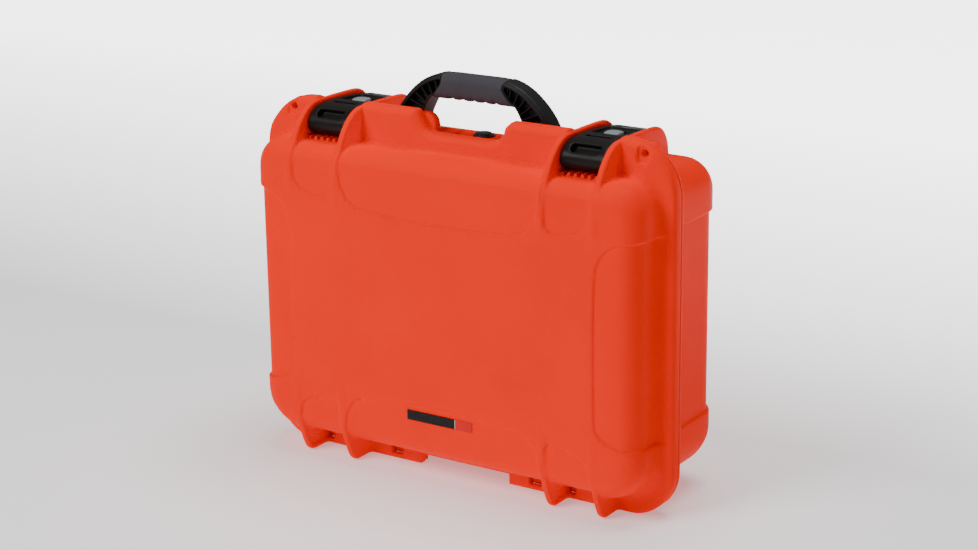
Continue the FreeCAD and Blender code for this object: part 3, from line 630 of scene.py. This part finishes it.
WINDOW = ((LATCH_X - 8.9, BUTTON_LOW[1] - 0.8, 350), (LATCH_X + 8.9, BUTTON_PIVOT[0] + 6, 380))
TAIL_LEDGE = [(57.5, 380), (57.5, 364.6), (75, 362.2), (75, 380)]
TAIL_LEDGE_HALF = 13.0
BOSS_R, BOSS_GAP_HALF = 6.0, 11.4
PAD_HALF, PAD_TOP_Z, PAD_BOTTOM_Z, PAD_DOMING = 8.4, 367.4, 361.0, 0.8
LATCH_PIN_R, BUTTON_PIN_R = 2.5, 1.5
SPRING_WIRE_R, SPRING_TURNS, SPRING_FACETS = 0.3, 3.5, 16


def pin_boss(x, y, z):
    """The round bosses inside the lever's cheeks, round the button's pin."""
    across = np.abs(x - LATCH_X)
    round_bar = np.hypot(y - BUTTON_PIVOT[0], z - BUTTON_PIVOT[1]) - BOSS_R
    return common(common(round_bar, across - LEVER_HALF + 0.6), BOSS_GAP_HALF - across, 0.5)


def finger_slot(x, y, z):
    """A pocket with rounded corners, square to the curved nose of the lever."""
    along = ((y - SLOT_CENTRE[0]) + (z - SLOT_CENTRE[1])) * math.sqrt(0.5)
    inward = ((y - SLOT_CENTRE[0]) - (z - SLOT_CENTRE[1])) * math.sqrt(0.5)
    plan = rounded_plan(np.abs(x - LATCH_X) - SLOT_HALF[0], np.abs(along) - SLOT_HALF[1], SLOT_CORNER_R)
    return common(plan, inward - SLOT_DEPTH, 1.5)


def lever_mesh(step, name):
    """The latch's curved lever, with its finger slot and the window for the button."""
    low = (LATCH_X - LEVER_HALF - 2, -33, 338)
    high = (LATCH_X + LEVER_HALF + 2, 89, 370)
    region = Region(low, high, step)
    shape = outline(softened(LEVER_TOP + LEVER_UNDER, 2))
    region.add(lambda x, y, z: common(shape(y, z), np.abs(x - LATCH_X) - LEVER_HALF, 2.6))
    hollow = outline(LEVER_HOLLOW)
    region.cut(lambda x, y, z: common(hollow(y, z), np.abs(x - LATCH_X) - LEVER_HALF + LEVER_CHEEK), 0.6)
    region.cut(finger_slot, 1.6)
    region.cut(block(*NARROW_SLOT, 1.6), 1.2)
    region.cut(block(*RECESS, 2.0), 1.2)
    region.cut(block(*WINDOW, 1.2), 0.5)
    tail = outline(TAIL_LEDGE)
    region.cut(lambda x, y, z: common(tail(y, z), np.abs(x - LATCH_X) - TAIL_LEDGE_HALF, 1.0), 0.8)
    region.add(pin_boss)
    region.cut(rod(0, LEVER_PIVOT, LATCH_PIN_R + 0.05, (low[0] - 5, high[0] + 5)))
    region.cut(rod(0, BUTTON_PIVOT, BUTTON_PIN_R, (LATCH_X - LEVER_HALF + 3, LATCH_X + LEVER_HALF - 3)))
    return region.mesh(name, adaptivity=ADAPTIVITY)


def button_mesh(step, name):
    """The thumb pad, gently domed."""
    y0, y1 = BUTTON_LOW[1], BUTTON_HIGH[1]
    low = (LATCH_X - 11, y0 - 2, 359)
    high = (LATCH_X + 11, y1 + 2, 370)
    region = Region(low, high, step)
    middle, half_length = (y0 + y1) / 2, (y1 - y0) / 2 - 0.1

    def pad(x, y, z):
        plan = rounded_plan(np.abs(x - LATCH_X) - PAD_HALF, np.abs(y - middle) - half_length, 4.0)
        top = PAD_TOP_Z - PAD_DOMING * (((x - LATCH_X) / 8.5) ** 2 + ((y - middle) / 8) ** 2)
        return common(common(plan, z - top, 1.6), PAD_BOTTOM_Z - z, 0.3)
    region.add(pad)
    return region.mesh(name, adaptivity=ADAPTIVITY)


def mirror_of(thing, name):
    """The same mesh for the left side."""
    mesh = thing.data.copy()
    mesh.transform(Matrix.Scale(-1, 4, (1, 0, 0)))
    mesh.flip_normals()
    other = bpy.data.objects.new(name, mesh)
    bpy.context.scene.collection.objects.link(other)
    return other


def spring_mesh(name):
    """The torsion spring on the button's pin."""
    y, z = BUTTON_PIVOT
    low, high = drawn_box("button_spring_right")
    coil_r = (high[2] - low[2]) / 2 - SPRING_WIRE_R
    steps = int(SPRING_TURNS * SPRING_FACETS)
    first_x, last_x = low[0] + SPRING_WIRE_R, high[0] - SPRING_WIRE_R
    path = []
    for step in range(steps + 1):
        angle = math.pi / 2 + 2 * math.pi * step / SPRING_FACETS
        x = first_x + (last_x - first_x) * step / steps
        path.append((x, y + coil_r * math.cos(angle), z + coil_r * math.sin(angle)))
    return tube(name, path, SPRING_WIRE_R)


def tube(name, path, radius, sides=10):
    """A round wire along a path."""
    points, faces = [], []
    line = [Vector(p) for p in path]
    for k, place in enumerate(line):
        along = (line[min(k + 1, len(line) - 1)] - line[max(k - 1, 0)]).normalized()
        across = along.cross(Vector((1, 0.02, 0.01))).normalized()
        beside = along.cross(across)
        for side in range(sides):
            angle = 2 * math.pi * side / sides
            spot = place + radius * (math.cos(angle) * across + math.sin(angle) * beside)
            points.append((spot.x * MM, spot.y * MM + PARTING_Y, spot.z * MM))
    for k in range(len(line) - 1):
        ring, next_ring = k * sides, (k + 1) * sides
        for side in range(sides):
            after = (side + 1) % sides
            faces.append((ring + side, ring + after, next_ring + after, next_ring + side))
    faces.append(tuple(range(sides))[::-1])
    faces.append(tuple(range((len(line) - 1) * sides, len(line) * sides)))
    mesh = bpy.data.meshes.new(name)
    mesh.from_pydata(points, [], faces)
    mesh.shade_smooth()
    thing = bpy.data.objects.new(name, mesh)
    bpy.context.scene.collection.objects.link(thing)
    return thing


def valve_mesh(step):
    """A low round valve: a flange, and a fluted cap with a coin slot."""
    low, high = drawn_box("valve_cap")
    seat = VALVE_LOW[2]
    reach = VALVE_R + 1
    start = (VALVE_X - reach, VALVE_Y - reach, seat - 1)
    region = Region(start, (VALVE_X + reach, VALVE_Y + reach, high[2] + 1), step)
    flange_z = (low[2] - FLANGE_T, low[2])
    region.add(rod(2, (VALVE_X, VALVE_Y), VALVE_R - 0.1, flange_z, 0.8))
    region.add(rod(2, (VALVE_X, VALVE_Y), VALVE_STEM_R - 0.1, (seat, low[2])))

    def cap(x, y, z):
        angle = np.arctan2(y - VALVE_Y, x - VALVE_X)
        radius = (high[0] - low[0]) / 2 - FLUTE_DEPTH + FLUTE_DEPTH * np.cos(FLUTES * angle)
        return common(np.hypot(x - VALVE_X, y - VALVE_Y) - radius, between(z, low[2] - 0.5, high[2]), 0.7)
    region.add(cap, 0.3)
    slot = block((VALVE_X - 5, VALVE_Y - 0.9, high[2] - 1.0), (VALVE_X + 5, VALVE_Y + 0.9, high[2] + 2), 0.5)
    region.cut(slot, 0.3)
    return region.mesh("valve_moulding", adaptivity=ADAPTIVITY)


def divider_mesh(step):
    """The thin light line between the badge's plate and tab."""
    low, high = drawn_box("badge_plate")
    tab_low = drawn_box("badge_tab")[0]
    region = Region((high[0] - 1, low[1] - 1, low[2] - 1), (tab_low[0] + 1, high[1] + 1, high[2] + 1), step)
    region.add(block((high[0], low[1] + 0.1, low[2]), (tab_low[0], high[1], high[2]), 0.25))
    return region.mesh("badge_divider", adaptivity=0)


# ------------------------------------------------------------ camera, light and floor

CAMERA_AZIMUTH, CAMERA_ELEVATION, CAMERA_ROLL = 33.19, 16.91, -0.74
CAMERA_LENS = 80.9
CAMERA_PLACE = (1164.7, -1743.2, 845.9)
LAMPS = (("key", (-1.0, -2.4, 2.2), 1.6, 70), ("top", (0.3, 0.4, 2.8), 1.8, 52))
LAMP_TARGET = (0, 0, 0.2)
WORLD_GLOW = 0.19
FLOOR_REACH = 6.0
# The floor's painted light: its glow strength rises from the first to the second number over this stretch of y in
# metres, a lit backdrop painted into the floor.
FLOOR_GLOW_Y, FLOOR_GLOW = (0.2, 1.6), (0.35, 4.0)


def make_camera():
    """A long lens, from the front right and a little above."""
    data = bpy.data.cameras.new("camera")
    data.lens, data.sensor_width = CAMERA_LENS, 36.0
    data.clip_start, data.clip_end = 0.1, 30.0
    camera = bpy.data.objects.new("camera", data)
    bpy.context.scene.collection.objects.link(camera)
    azimuth, elevation, roll = (math.radians(a) for a in (CAMERA_AZIMUTH, CAMERA_ELEVATION, CAMERA_ROLL))
    level = math.cos(elevation)
    back = Vector((math.sin(azimuth) * level, -math.cos(azimuth) * level, math.sin(elevation)))
    right = Vector((0, 0, 1)).cross(back).normalized()
    up = back.cross(right)
    side = math.cos(roll) * right + math.sin(roll) * up
    top = math.cos(roll) * up - math.sin(roll) * right
    turn = Matrix((side, top, back)).transposed().to_4x4()
    place = Vector(CAMERA_PLACE) * MM + Vector((0, PARTING_Y, 0))
    camera.matrix_world = Matrix.Translation(place) @ turn
    bpy.context.scene.camera = camera


def make_lamp(name, place, size, watts):
    """A round soft lamp that points at the middle of the case."""
    data = bpy.data.lights.new(name, "AREA")
    data.shape, data.size, data.energy = "DISK", size, watts
    lamp = bpy.data.objects.new(name, data)
    lamp.location = place
    lamp.rotation_euler = (Vector(LAMP_TARGET) - Vector(place)).to_track_quat("-Z", "Y").to_euler()
    bpy.context.scene.collection.objects.link(lamp)


def make_studio():
    """A pale world, and a pale floor whose glow is painted light: dim near the case, bright far behind it."""
    world = bpy.data.worlds.new("studio")
    bpy.context.scene.world = world
    world.use_nodes = True
    background = world.node_tree.nodes["Background"]
    background.inputs["Color"].default_value = (1.0, 1.0, 1.0, 1.0)
    background.inputs["Strength"].default_value = WORLD_GLOW
    for lamp in LAMPS:
        make_lamp(*lamp)
    mesh = bpy.data.meshes.new("floor")
    reach = FLOOR_REACH
    corners = [(-reach, -reach, 0), (reach, -reach, 0), (reach, reach, 0), (-reach, reach, 0)]
    mesh.from_pydata(corners, [], [(0, 1, 2, 3)])
    floor = bpy.data.objects.new("floor", mesh)
    bpy.context.scene.collection.objects.link(floor)
    # A pale floor that also glows: painted light, brighter further behind the case.
    painted_glow_floor = plain("floor_painted_glow", (0.9, 0.9, 0.9), 0.7)
    tree = painted_glow_floor.node_tree
    shader = tree.nodes["Principled BSDF"]
    shader.inputs["Emission Color"].default_value = (1, 1, 1, 1)
    place = tree.nodes.new("ShaderNodeSeparateXYZ")
    tree.links.new(tree.nodes.new("ShaderNodeTexCoord").outputs["Object"], place.inputs[0])
    glow = ranged(tree, place.outputs["Y"], *FLOOR_GLOW_Y, *FLOOR_GLOW)
    tree.links.new(glow, shader.inputs["Emission Strength"])
    floor.data.materials.append(painted_glow_floor)


# ------------------------------------------------------------ materials

def plain(name, colour, roughness):
    """A material of one colour, to build on."""
    material = bpy.data.materials.new(name)
    material.use_nodes = True
    shader = material.node_tree.nodes["Principled BSDF"]
    shader.inputs["Base Color"].default_value = (*colour, 1)
    shader.inputs["Roughness"].default_value = roughness
    return material


def ranged(tree, value, from_low, from_high, to_low, to_high):
    """A map range node on this output, and its result."""
    node = tree.nodes.new("ShaderNodeMapRange")
    numbers = zip(("From Min", "From Max", "To Min", "To Max"), (from_low, from_high, to_low, to_high))
    for socket, number in numbers:
        node.inputs[socket].default_value = number
    tree.links.new(value, node.inputs["Value"])
    return node.outputs["Result"]


def noise(tree, coordinates, size_mm, detail, stretch=(1, 1, 1)):
    """Noise whose blobs are about this large."""
    mapping = tree.nodes.new("ShaderNodeMapping")
    mapping.inputs["Scale"].default_value = stretch
    tree.links.new(coordinates, mapping.inputs["Vector"])
    node = tree.nodes.new("ShaderNodeTexNoise")
    node.inputs["Scale"].default_value = 1 / (size_mm * MM)
    node.inputs["Detail"].default_value = detail
    tree.links.new(mapping.outputs["Vector"], node.inputs["Vector"])
    return node.outputs["Fac"]


def finish(name, colour, worn, roughness, specular, grain_mm, grain_height_mm, wear, drift, metallic=0.0):
    """A moulded or machined surface: fine grain, slow changes of tone, and lighter edges."""
    material = plain(name, colour, roughness)
    tree = material.node_tree
    shader = tree.nodes["Principled BSDF"]
    shader.inputs["Specular IOR Level"].default_value = specular
    shader.inputs["Metallic"].default_value = metallic
    places = tree.nodes.new("ShaderNodeTexCoord").outputs["Object"]

    tone = tree.nodes.new("ShaderNodeHueSaturation")
    tone.inputs["Color"].default_value = (*colour, 1)
    cloud = noise(tree, places, 90.0, 3.0)
    tree.links.new(ranged(tree, cloud, 0.3, 0.7, 1 - drift, 1 + drift), tone.inputs["Value"])

    edge = tree.nodes.new("ShaderNodeNewGeometry").outputs["Pointiness"]
    edge_share = ranged(tree, edge, 0.515, 0.60, 0.0, wear)
    rubbed = noise(tree, places, 7.0, 4.0)
    broken = tree.nodes.new("ShaderNodeMath")
    broken.operation = "MULTIPLY"
    tree.links.new(edge_share, broken.inputs[0])
    tree.links.new(ranged(tree, rubbed, 0.38, 0.62, 0.35, 1.0), broken.inputs[1])
    mix = tree.nodes.new("ShaderNodeMix")
    mix.data_type = "RGBA"
    sockets = {socket.name: socket for socket in mix.inputs if socket.enabled}
    tree.links.new(broken.outputs[0], sockets["Factor"])
    tree.links.new(tone.outputs["Color"], sockets["A"])
    sockets["B"].default_value = (*worn, 1)
    result = next(socket for socket in mix.outputs if socket.enabled)
    tree.links.new(result, shader.inputs["Base Color"])

    smudge = noise(tree, places, 25.0, 4.0)
    smudged = ranged(tree, smudge, 0.3, 0.7, roughness - 0.05, roughness + 0.07)
    tree.links.new(smudged, shader.inputs["Roughness"])

    grain = noise(tree, places, grain_mm, 2.0)
    scuffs = noise(tree, places, 6.0, 3.0, (0.15, 1.0, 1.6))
    height = tree.nodes.new("ShaderNodeMath")
    height.operation = "MULTIPLY_ADD"
    tree.links.new(ranged(tree, scuffs, 0.66, 0.7, 0.0, -0.6), height.inputs[0])
    height.inputs[1].default_value = 1.0
    tree.links.new(grain, height.inputs[2])
    bump = tree.nodes.new("ShaderNodeBump")
    bump.inputs["Strength"].default_value = 0.6
    bump.inputs["Distance"].default_value = grain_height_mm * MM
    tree.links.new(height.outputs[0], bump.inputs["Height"])
    tree.links.new(bump.outputs["Normal"], shader.inputs["Normal"])
    return material


# Each slot's colour, worn colour, roughness, specular level, grain size and height in mm, edge wear and
# drift of tone, and for metals how metallic it is.
LOOKS = {
    "case_orange": ((0.98, 0.016, 0.0), (1.0, 0.045, 0.004), 0.46, 0.02, 0.7, 0.07, 0.35, 0.03),
    "latch_black": ((0.008, 0.0065, 0.006), (0.04, 0.036, 0.034), 0.40, 0.14, 0.5, 0.06, 0.6, 0.15),
    "handle_black": ((0.008, 0.007, 0.0072), (0.035, 0.032, 0.032), 0.50, 0.2, 0.5, 0.10, 0.5, 0.15),
    "grip_rubber": ((0.045, 0.041, 0.050), (0.07, 0.066, 0.075), 0.68, 0.2, 0.35, 0.12, 0.4, 0.08),
    "button_grey": ((0.19, 0.225, 0.235), (0.30, 0.33, 0.34), 0.42, 0.3, 0.5, 0.05, 0.5, 0.05),
    "seal_rubber": ((0.012, 0.012, 0.012), (0.03, 0.03, 0.03), 0.75, 0.2, 0.6, 0.08, 0.3, 0.1),
    "pin_steel": ((0.52, 0.51, 0.50), (0.66, 0.65, 0.63), 0.32, 0.5, 1.2, 0.02, 0.5, 0.06, 1.0),
    "spring_steel": ((0.40, 0.39, 0.38), (0.6, 0.59, 0.57), 0.30, 0.5, 0.8, 0.02, 0.5, 0.06, 1.0),
    "valve_black": ((0.012, 0.011, 0.011), (0.05, 0.05, 0.05), 0.38, 0.3, 0.5, 0.05, 0.6, 0.12),
    "badge_black": ((0.006, 0.006, 0.006), (0.03, 0.03, 0.03), 0.36, 0.12, 2.0, 0.02, 0.3, 0.08),
    "badge_red": ((0.66, 0.006, 0.008), (0.7, 0.03, 0.03), 0.36, 0.1, 2.0, 0.02, 0.3, 0.05),
    "badge_line": ((0.62, 0.60, 0.58), (0.7, 0.7, 0.7), 0.35, 0.3, 2.0, 0.02, 0.3, 0.05),
}


def make_finishes():
    return {name: finish(name, *look) for name, look in LOOKS.items()}


def dress(thing, body, slot, finish_name, *nodes):
    """Give a piece its finish and its body, and hide the CAD nodes that it stands for; its slot is not used."""
    thing.data.materials.clear()
    thing.data.materials.append(FINISHES[finish_name])
    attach(thing, body)
    if nodes:
        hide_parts(*nodes)


# ------------------------------------------------------------ put together

def build_shells():
    lid = lid_field(SHELL_STEP).mesh("lid_moulding", True, ADAPTIVITY)
    dress(lid, "lid", "case_orange", "case_orange", "lid_shell")
    base = base_field(SHELL_STEP).mesh("base_moulding", True, ADAPTIVITY)
    dress(base, "base", "case_orange", "case_orange", "base_shell")


def build_handle():
    dress(handle_mesh(DETAIL_STEP), "handle", "handle_black", "handle_black", "handle_frame")
    dress(grip_mesh(DETAIL_STEP), "handle", "grip_rubber", "grip_rubber", "handle_grip")


def build_latches():
    """The right latch's pieces, and their mirror images on the left."""
    pieces = (
        (lever_mesh(DETAIL_STEP, "lever_moulding_right"), "latch", "latch_black", "latch_lever"),
        (button_mesh(DETAIL_STEP, "button_pad_right"), "button", "button_grey", "release_button"),
        (spring_mesh("button_coil_right"), "button", "spring_steel", "button_spring"),
    )
    for thing, body, slot, node in pieces:
        other = mirror_of(thing, thing.name.replace("right", "left"))
        dress(thing, body + "_right", slot, slot, node + "_right")
        dress(other, body + "_left", slot, slot, node + "_left")


def build_small_parts():
    dress(valve_mesh(VALVE_STEP), "base", "valve_black", "valve_black", "valve_cap", "valve_body")
    dress(divider_mesh(DIVIDER_STEP), "lid", "badge_black", "badge_line")


def dress_cad_nodes():
    """The finishes and softened edges of the nodes that show as they were packed."""
    slots = {row["node"]: row["material_slot"] for row in frame["record"]["subparts"]}
    for name, node in frame["nodes"].items():
        node.data.materials.clear()
        node.data.materials.append(FINISHES[slots[name]])
        bevel = node.modifiers.new("soft edges", "BEVEL")
        bevel.width, bevel.segments, bevel.limit_method = 0.25 * MM, 2, "ANGLE"


make_camera()
make_studio()
FINISHES = make_finishes()
build_shells()
build_handle()
build_latches()
build_small_parts()
dress_cad_nodes()
